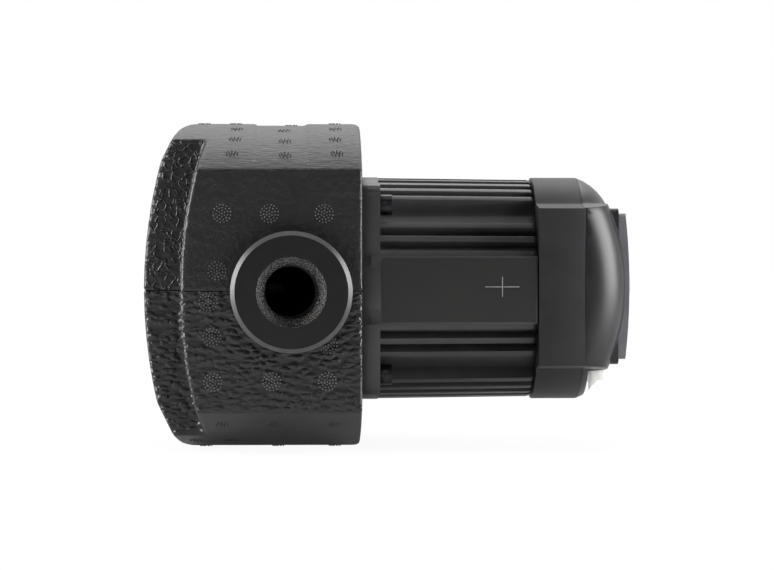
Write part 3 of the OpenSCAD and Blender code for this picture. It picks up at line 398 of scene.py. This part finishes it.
def standFor(piece, node):
    dress(piece, materials[nodeLooks[node]], nodeBody[node])
    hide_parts(node)


# Every edge of these shells is broken a little, as a mould or a fettled casting leaves it. The bevel is
# clamped where the fins stand close together and where the panel closes round its button.
softEdges = {
    "motor_housing": {"name": "finnedHousing", "width": 0.45 * mm, "segments": 2, "smooth": 35,
                      "clamp": True},
    "flange_screws": {"name": "flangeScrews", "width": 0.3 * mm, "segments": 2, "smooth": 35},
    "control_box": {"name": "controlBox", "width": 0.3 * mm, "segments": 2, "smooth": 35},
    "control_cover": {"name": "controlCover", "width": 0.3 * mm, "segments": 2, "smooth": 35},
    "control_panel": {"name": "controlPanel", "width": 0.2 * mm, "segments": 1, "smooth": 25,
                      "clamp": True},
    "power_inlet": {"name": "powerInlet", "width": 0.25 * mm, "segments": 2, "smooth": 35},
}
brokenFrom = 28    # degrees, and a blunter edge than this is left
for node, edge in softEdges.items():
    piece = copyOf(node, edge["name"])
    bevel = piece.modifiers.new("edge", "BEVEL")
    bevel.width = edge["width"]
    bevel.segments = edge["segments"]
    bevel.limit_method = "ANGLE"
    bevel.angle_limit = math.radians(brokenFrom)
    bevel.use_clamp_overlap = edge.get("clamp", False)
    bevel.miter_outer = "MITER_ARC"
    applyModifiers(piece)
    smoothBy(piece, edge["smooth"])
    standFor(piece, node)
print("stage: softened shells made")


# Foam shell: each half is remeshed finely, rounded at its edges and pebbled

foam = {
    "voxel": 0.8 * mm, "smoothings": 14, "rounding": 0.5, "smooth": 60,
    "crisp": 1.3 * mm, "partingBare": 0.6 * mm,         # next to the parting: not rounded, not pebbled
    "levelWithin": 0.6, "levelSlope": -0.3,             # this near the parting, in voxels, and facing it
    "face": 68 * mm, "faceEdge": 48 * mm, "upperCrown": 68.7 * mm, "lowerCrown": 65.5 * mm,
    "end": 28.2 * mm, "endBare": 0.9 * mm,
    "hollow": 46 * mm, "hollowEnd": -31 * mm, "neck": 27.6 * mm, "neckEnd": 67.2 * mm,
    # the shallow dip across the upper half's crown
    "dip": 0.7 * mm, "dipFrom": -15 * mm, "dipTo": 6.5 * mm, "dipSlope": 0.8 * mm, "dipAbove": 52 * mm,
    "clear": 0.12 * mm, "reach": 5 * mm,                # kept free of the casing, which is sought this far
}
beadShape = {
    "uprightFrom": 0.75, "recess": 60 * mm, "recessTimes": 2.2,
    "upperCell": (3.6 * mm, 3.6 * mm, 3.6 * mm), "upperRelief": 0.14 * mm,
    "lowerCell": (5.4 * mm, 3.6 * mm, 2.52 * mm), "lowerRelief": 0.13 * mm,
    "archCell": (5.76 * mm, 3.6 * mm, 3.6 * mm), "archRelief": 0.07 * mm, "bellyRelief": 0.03 * mm,
    "border": 3.0, "sunk": 0.7, "swell": 0.5, "swellScale": 0.35,
}


def insideShell(x, depth, z):
    nearCasing = max(abs(depth), abs(z)) < foam["hollow"] and x > foam["hollowEnd"]
    inNeck = math.hypot(x, z) < foam["neck"] and abs(depth) < foam["neckEnd"]
    return nearCasing or inNeck


def beadRelief(x, depth, z, normal):
    # pressed beads: even cells on the upper half's face, long flat ones on the lower half's
    if abs(normal.y) <= beadShape["uprightFrom"]:
        cell = beadShape["archCell"]
        height = beadShape["archRelief"] if z > 0 else beadShape["bellyRelief"]
    elif z > 0:
        cell = beadShape["upperCell"]
        height = beadShape["upperRelief"]
        if abs(depth) < beadShape["recess"]:
            height *= beadShape["recessTimes"]
    else:
        cell = beadShape["lowerCell"]
        height = beadShape["lowerRelief"]
    spot = Vector((x / cell[0], depth / cell[1], z / cell[2]))
    near = noise.voronoi(spot)[0]
    border = min(1.0, (near[1] - near[0]) * beadShape["border"])
    swell = noise.noise(spot * beadShape["swellScale"])
    return height * (border - beadShape["sunk"] + beadShape["swell"] * swell)


def pebbledHalf(node, name):
    piece = copyOf(node, name)
    parting = min(abs(vertex.co.z) for vertex in piece.data.vertices)
    side = 1 if node.startswith("upper") else -1
    remesh = piece.modifiers.new("grid", "REMESH")
    remesh.mode = "VOXEL"
    remesh.voxel_size = foam["voxel"]
    remesh.adaptivity = 0
    applyModifiers(piece)
    mesh = piece.data
    # the face on the parting is put back level and its edges stay crisp, so the halves meet in a thin line
    level = [vertex for vertex in mesh.vertices
             if abs(vertex.co.z) < parting + foam["levelWithin"] * foam["voxel"]
             and side * vertex.normal.z < foam["levelSlope"]]
    for vertex in level:
        vertex.co.z = side * parting
    soft = piece.vertex_groups.new(name="soft")
    soft.add([v.index for v in mesh.vertices if abs(v.co.z) > foam["crisp"]], 1.0, "REPLACE")
    rounding = piece.modifiers.new("rounding", "SMOOTH")
    rounding.factor = foam["rounding"]
    rounding.iterations = foam["smoothings"]
    rounding.vertex_group = "soft"
    applyModifiers(piece)
    # all normals are read before a vertex moves, because reading one after a move is slow
    normals = [vertex.normal.copy() for vertex in mesh.vertices]
    for vertex, normal in zip(mesh.vertices, normals):
        x, y, z = vertex.co
        depth = motorY - y
        atEnd = x > foam["end"] - foam["endBare"]
        if atEnd or abs(z) < foam["partingBare"] or insideShell(x, depth, z):
            continue
        vertex.co += normal * beadRelief(x, depth, z, normal)
        if z > foam["dipAbove"]:
            inDip = min(x - foam["dipFrom"], foam["dipTo"] - x) / foam["dipSlope"]
            vertex.co.z -= foam["dip"] * min(1.0, max(0.0, inDip))
    # the hollow stands clear of the casing that it wraps
    for vertex in mesh.vertices:
        place, normal = casingTree.find_nearest(vertex.co, foam["reach"])[:2]
        if place is None:
            continue
        away = vertex.co - place
        if away.dot(normal) < 0 or away.length < foam["clear"]:
            vertex.co = place + normal * foam["clear"]
    mesh.update()
    smoothBy(piece, foam["smooth"])
    standFor(piece, node)
    return piece


casingMesh = frame["nodes"]["pump_casing"].data
casingTree = BVHTree.FromPolygons([vertex.co[:] for vertex in casingMesh.vertices],
                                  [tuple(polygon.vertices) for polygon in casingMesh.polygons])
for node, name in (("upper_insulation_shell", "upperFoam"), ("lower_insulation_shell", "lowerFoam")):
    half = pebbledHalf(node, name)
    print("stage:", name, "made,", len(half.data.polygons), "faces")

# Vent marks: each cluster is a round patch of little nubs that the mould's vents leave. A ring is its
# radius and its number of nubs. A face's cluster is at x and z, and an arch's at degrees from the crown
# and x, all in millimetres.
vents = {
    "sides": 6, "nubRadius": 0.4 * mm, "nubTip": 0.45, "nubHeight": 0.7 * mm, "ringTurn": 0.4,
    "uprightFrom": 0.9, "portHole": 25.2 * mm,
    "faceRings": [(0, 1), (1.2, 6), (2.35, 11), (3.5, 16)],
    "archRings": [(0, 1), (1.1, 5), (2.3, 9)],
    "faceUpper": [(-27.5, 30.8), (-8.7, 30.8), (13.0, 30.8), (-29.5, 8.1)],
    "faceLower": [(-32.9, -4.2), (-31.5, -18.2), (-31.2, -36.1), (-7.8, -35.9), (14.2, -35.9),
                  (14.6, -21.2)],
    "archUpper": [(4, -36), (4, -23), (4, 0), (4, 18), (12.8, -22.3), (12.8, -3), (12.8, 18),
                  (20.5, -22.8), (20.5, -2.6), (20.5, 17.7), (27.5, -23.7), (27.5, -2.5), (27.5, 18.3)],
    "archLower": [(4.5, -35.5), (4.5, -5.5), (4.5, 18), (14, -24.5), (14, -39), (23.7, -27.8),
                  (23.7, -6.9), (23.7, 17.1)],
}


def archOf(crown):
    # centre height and radius of the arch that joins the face's edge to the crown
    rise = crown - foam["faceEdge"]
    radius = (foam["face"] ** 2 + rise ** 2) / (2 * rise)
    return crown - radius, radius


def nubMesh():
    deselectAll()
    bpy.ops.mesh.primitive_cone_add(vertices=vents["sides"], radius1=vents["nubRadius"],
                                    radius2=vents["nubTip"] * vents["nubRadius"],
                                    depth=vents["nubHeight"], location=(0, 0, 0))
    nub = bpy.context.object
    data = nub.data.copy()
    bpy.data.objects.remove(nub)
    return data


def addCluster(points, nub, rings, centre, across, up, out):
    # the nubs of one cluster, as points and faces for a single mesh; none stands on the port's collar
    turn = Matrix((across, up, out)).transposed()
    onFace = abs(out.y) > vents["uprightFrom"]
    for ring, count in rings:
        for i in range(count):
            angle = 2 * math.pi * i / count + vents["ringTurn"] * ring
            shift = across * (ring * mm * math.cos(angle)) + up * (ring * mm * math.sin(angle))
            place = centre + shift
            if onFace and math.hypot(place.x, place.z) < vents["portHole"]:
                continue
            base = len(points["verts"])
            for vertex in nub.vertices:
                points["verts"].append(place + turn @ vertex.co)
            for face in nub.polygons:
                points["faces"].append([base + v for v in face.vertices])


def ventPiece(name, body, look, points):
    mesh = bpy.data.meshes.new(name)
    mesh.from_pydata(points["verts"], [], points["faces"])
    piece = bpy.data.objects.new(name, mesh)
    bpy.context.scene.collection.objects.link(piece)
    outwards(piece)
    dress(piece, materials[look], body)


def faceVents(name, body, nub, spots):
    points = {"verts": [], "faces": []}
    up = Vector((0, 0, 1))
    for side in (-1, 1):
        out, across = Vector((0, side, 0)), Vector((-side, 0, 0))
        for x, z in spots:
            centre = Vector((x * mm, motorY + side * foam["face"], z * mm))
            addCluster(points, nub, vents["faceRings"], centre, across, up, out)
    # the face nubs take the pale colour, painted as highlights
    ventPiece(name, body, "ventNubHighlight", points)


def archVents(name, body, nub, spots, crown, sign):
    points = {"verts": [], "faces": []}
    centreZ, radius = archOf(crown)
    across = Vector((1, 0, 0))
    for side in (-1, 1):
        for degrees, x in spots:
            a = math.radians(degrees)
            out = Vector((0, side * math.sin(a), sign * math.cos(a)))
            centre = Vector((x * mm, motorY, sign * centreZ)) + out * radius
            if sign > 0 and foam["dipFrom"] < x * mm < foam["dipTo"]:
                centre.z -= foam["dip"]
            addCluster(points, nub, vents["archRings"], centre, across, out.cross(across), out)
    # the arch nubs take the near-black colour, painted as shade
    ventPiece(name, body, "ventShade", points)


nub = nubMesh()
faceVents("upperFaceVents", "upper_foam", nub, vents["faceUpper"])
faceVents("lowerFaceVents", "lower_foam", nub, vents["faceLower"])
archVents("upperArchVents", "upper_foam", nub, vents["archUpper"], foam["upperCrown"], 1)
archVents("lowerArchVents", "lower_foam", nub, vents["archLower"], foam["lowerCrown"], -1)
print("stage: vent marks made")


# Pump casing: the CAD casting with the thread's groove cut round both ports

thread = {
    "radius": 23.9 * mm, "pitch": 2.309 * mm, "depth": 1.479 * mm, "start": 3.6 * mm, "turns": 7,
    "steps": 72, "span": 180 * mm,
    "clear": 0.5 * mm, "land": 0.3 * mm, "flank": 0.92,      # the cutter stands out, and leaves a crest
    "runIn": 0.4, "runOut": 0.7, "lift": 0.1 * mm, "thin": 0.2,
}


def threadCutter(name, fromBack):
    # a sharp profile swept along a helix; its wide side stands clear of the crest
    full = thread["depth"] + thread["clear"]
    half = thread["flank"] * thread["pitch"] / 2 * full / (thread["depth"] + thread["land"])
    corners = [(thread["radius"] - thread["depth"], 0.0), (thread["radius"] + thread["clear"], half),
               (thread["radius"] + thread["clear"], -half)]
    verts, faces = [], []
    last = thread["turns"] * thread["steps"]
    for i in range(last + 1):
        angle = 2 * math.pi * i / thread["steps"]
        along = thread["start"] + thread["pitch"] * i / thread["steps"]
        # the groove runs in behind the chamfer and runs out at the foam's side, in parts of a turn
        fade = min(1.0, i / (thread["runIn"] * thread["steps"]),
                   (last - i) / (thread["runOut"] * thread["steps"]))
        raised = (1 - fade) * (thread["depth"] + thread["lift"])
        for radius, shift in corners:
            r = radius + raised if radius < thread["radius"] else radius
            y = along + shift * (thread["thin"] + (1 - thread["thin"]) * fade)
            if fromBack:
                verts.append((r * math.cos(angle), thread["span"] - y, r * math.sin(angle)))
            else:
                verts.append((-r * math.cos(angle), y, r * math.sin(angle)))
    for i in range(last):
        a, b = 3 * i, 3 * i + 3
        for j in range(3):
            k = (j + 1) % 3
            faces.append((a + j, a + k, b + k, b + j))
    faces.append((0, 1, 2))
    faces.append((3 * last, 3 * last + 2, 3 * last + 1))
    mesh = bpy.data.meshes.new(name)
    mesh.from_pydata(verts, [], faces)
    cutter = bpy.data.objects.new(name, mesh)
    bpy.context.scene.collection.objects.link(cutter)
    outwards(cutter)
    return cutter


# Where the casing isn't dipped iron: the funnel behind each bore's mouth, as cast with painted glints, and
# the chamfer with a painted highlight
finish = {
    "smooth": 32, "faceWithin": 0.01 * mm,
    "rawRadius": 13.9 * mm, "rawFrom": 0.5 * mm, "rawTo": 12 * mm,
    "chamferWithin": 1.4 * mm, "chamferRadius": 22 * mm, "chamferSlope": (0.3, 0.95),
}
casing = copyOf("pump_casing", "threadedCasing")
for fromBack in (False, True):
    cutter = threadCutter("groove", fromBack)
    cut = casing.modifiers.new("groove", "BOOLEAN")
    cut.operation = "DIFFERENCE"
    cut.solver = "EXACT"
    cut.object = cutter
    applyModifiers(casing)
    bpy.data.objects.remove(cutter)
smoothBy(casing, finish["smooth"])
standFor(casing, "pump_casing")
casing.data.materials.append(materials["rawCastingGlints"])
casing.data.materials.append(materials["turnedEdgeHighlight"])
rawGlintIndex, turnedHighlightIndex = 1, 2       # the dipped iron has place 0
bluntest, steepest = finish["chamferSlope"]
for polygon in casing.data.polygons:
    x, y, z = polygon.center
    fromAxis = math.hypot(x, z)
    fromPort = min(y, thread["span"] - y)
    slanted = bluntest < abs(polygon.normal.y) < steepest
    if fromPort < finish["faceWithin"]:
        polygon.use_smooth = False
    # the chamfer takes the lighter ring, partly a painted highlight
    elif fromPort < finish["chamferWithin"] and fromAxis > finish["chamferRadius"] and slanted:
        polygon.material_index = turnedHighlightIndex
    # the funnel takes raw grey, with pale specks painted as glints
    if fromAxis < finish["rawRadius"] and finish["rawFrom"] < fromPort < finish["rawTo"]:
        polygon.material_index = rawGlintIndex
print("stage: casing made,", len(casing.data.polygons), "faces")


# Label: a satin film with the rules of an empty table
frameLines = {"left": 78.4 * mm, "right": 92.2 * mm, "rows": (5.4 * mm, -2.8 * mm), "width": 0.22 * mm,
              "rise": 0.03 * mm, "face": motorY - 45.9 * mm}


def printedLine(fromX, toX, z, high):
    centre = ((fromX + toX) / 2, frameLines["face"], z)
    deselectAll()
    bpy.ops.mesh.primitive_cube_add(size=1, location=centre)
    line = bpy.context.object
    line.scale = (toX - fromX, 2 * frameLines["rise"], high)
    placeInMesh(line)
    return line


middle = (frameLines["left"] + frameLines["right"]) / 2
top, bottom = frameLines["rows"]
lines = [printedLine(frameLines["left"], frameLines["right"], (top + bottom) / 2, frameLines["width"]),
         printedLine(middle, middle + frameLines["width"], (top + bottom) / 2, top - bottom)]
dress(joined(lines, "labelFrame"), materials["palePrint"], "root")


# Studio: pale floor, white background, and large soft lights at the sides, above and behind

studio = {
    "floorPlace": (0.06, motorY, -65.6 * mm), "floorSize": 12.0,
    "paper": (0.78, 0.78, 0.78, 1), "paperRough": 0.9,
    "glow": 1.02, "shadowTo": (0.1, 0.34), "shadowShare": 0.92,    # metres from the floor's middle
    "floorInGloss": 0.12, "wallFrom": 0.05, "wallTo": 0.95, "room": 0.08, "ambient": 0.2,
    "cameraPlace": (0.0, -1.160, 0.0227), "aim": (0.0401, 0.090, 0.0013), "lens": 138.6, "sensor": 36,
    "nearest": 0.01,
}

deselectAll()
bpy.ops.mesh.primitive_plane_add(size=studio["floorSize"], location=studio["floorPlace"])
floor = bpy.context.object
floor.name = "floor"
# Matt white paper: it takes a soft shadow near the object, and further off it is as white as the wall
paper = bpy.data.materials.new("paper")
paper.use_nodes = True
tree = paper.node_tree
path = addNode(tree, "ShaderNodeLightPath", {}, {})
spot = addNode(tree, "ShaderNodeTexCoord", {}, {})
away = addNode(tree, "ShaderNodeVectorMath", {"operation": "LENGTH"}, {0: spot.outputs["Object"]})
near, far = studio["shadowTo"]
fade = addNode(tree, "ShaderNodeMapRange", {"interpolation_type": "SMOOTHSTEP", "From Min": near,
               "From Max": far, "To Min": studio["shadowShare"], "To Max": 1.0},
               {"Value": away.outputs["Value"]})
seen = addNode(tree, "ShaderNodeMath", {"operation": "ADD", "use_clamp": True},
               {0: path.outputs["Is Camera Ray"], 1: path.outputs["Is Transmission Ray"]})
seenToo = addNode(tree, "ShaderNodeMath", {"operation": "MULTIPLY_ADD", 1: studio["floorInGloss"],
                  "use_clamp": True}, {0: path.outputs["Is Glossy Ray"], 2: seen.outputs[0]})
share = addNode(tree, "ShaderNodeMath", {"operation": "MULTIPLY"},
                {0: seenToo.outputs[0], 1: fade.outputs[0]})
shader = tree.nodes["Principled BSDF"]
shader.inputs["Base Color"].default_value = studio["paper"]
shader.inputs["Roughness"].default_value = studio["paperRough"]
shader.inputs["Specular IOR Level"].default_value = 0.0
glow = addNode(tree, "ShaderNodeEmission", {"Strength": studio["glow"]}, {})
blend = addNode(tree, "ShaderNodeMixShader", {}, {0: share.outputs[0], 1: shader.outputs[0],
                                                  2: glow.outputs[0]})
tree.links.new(blend.outputs[0], tree.nodes["Material Output"].inputs["Surface"])
floor.data.materials.append(paper)

world = bpy.data.worlds.new("studioWorld")
bpy.context.scene.world = world
world.use_nodes = True
tree = world.node_tree
for node in list(tree.nodes):
    tree.nodes.remove(node)
path = addNode(tree, "ShaderNodeLightPath", {}, {})
ray = addNode(tree, "ShaderNodeTexCoord", {}, {})
axes = addNode(tree, "ShaderNodeSeparateXYZ", {}, {0: ray.outputs["Generated"]})
# in reflections the wall behind the object is the bright one, and the room in front of it is dimmer
wall = addNode(tree, "ShaderNodeMapRange", {"interpolation_type": "SMOOTHSTEP",
               "From Min": studio["wallFrom"], "From Max": studio["wallTo"], "To Min": studio["room"],
               "To Max": 1.0}, {"Value": axes.outputs["Y"]})
straight = addNode(tree, "ShaderNodeMath", {"operation": "ADD", "use_clamp": True},
                   {0: path.outputs["Is Camera Ray"], 1: path.outputs["Is Transmission Ray"]})
soft = addNode(tree, "ShaderNodeMix", {2: studio["ambient"]},
               {0: path.outputs["Is Glossy Ray"], 3: wall.outputs[0]})
strength = addNode(tree, "ShaderNodeMix", {3: 1.0}, {0: straight.outputs[0], 2: soft.outputs[0]})
back = addNode(tree, "ShaderNodeBackground", {"Color": linear("#ffffff")}, {"Strength": strength.outputs[0]})
addNode(tree, "ShaderNodeOutputWorld", {}, {"Surface": back.outputs[0]})

lamps = {
    "topSoftbox": {"place": (0.05, 0.95, 1.0), "target": (0.05, 0.09, 0.0), "size": (1.4, 0.7),
                   "power": 6.5},
    "leftSoftbox": {"place": (-1.0, -0.10, 0.15), "target": (0.0, 0.09, 0.0), "size": (0.7, 1.0),
                    "power": 28},
    "rightSoftbox": {"place": (1.1, -0.10, 0.15), "target": (0.05, 0.09, 0.0), "size": (0.7, 1.0),
                     "power": 28},
    "edgeStrip": {"place": (0.05, -0.08, 1.2), "target": (0.05, 0.05, 0.0), "size": (1.5, 0.22),
                  "power": 3.5},
    "frontFill": {"place": (0.0, -1.7, 0.9), "target": (0.04, 0.0, 0.0), "size": (1.2, 0.6), "power": 3},
}


def turnTo(thing, place, target):
    aim = Vector(target) - Vector(place)
    thing.rotation_euler = aim.to_track_quat("-Z", "Y").to_euler()


for name, lamp in lamps.items():
    deselectAll()
    bpy.ops.object.light_add(type="AREA", location=lamp["place"])
    light = bpy.context.object
    light.name = name
    light.data.shape = "RECTANGLE"
    light.data.size, light.data.size_y = lamp["size"]
    light.data.energy = lamp["power"]
    turnTo(light, lamp["place"], lamp["target"])

deselectAll()
bpy.ops.object.camera_add(location=studio["cameraPlace"])
camera = bpy.context.object
camera.data.lens = studio["lens"]
camera.data.sensor_width = studio["sensor"]
camera.data.clip_start = studio["nearest"]
turnTo(camera, studio["cameraPlace"], studio["aim"])
bpy.context.scene.camera = camera
bpy.context.scene.view_settings.view_transform = "Standard"
print("stage: studio made")
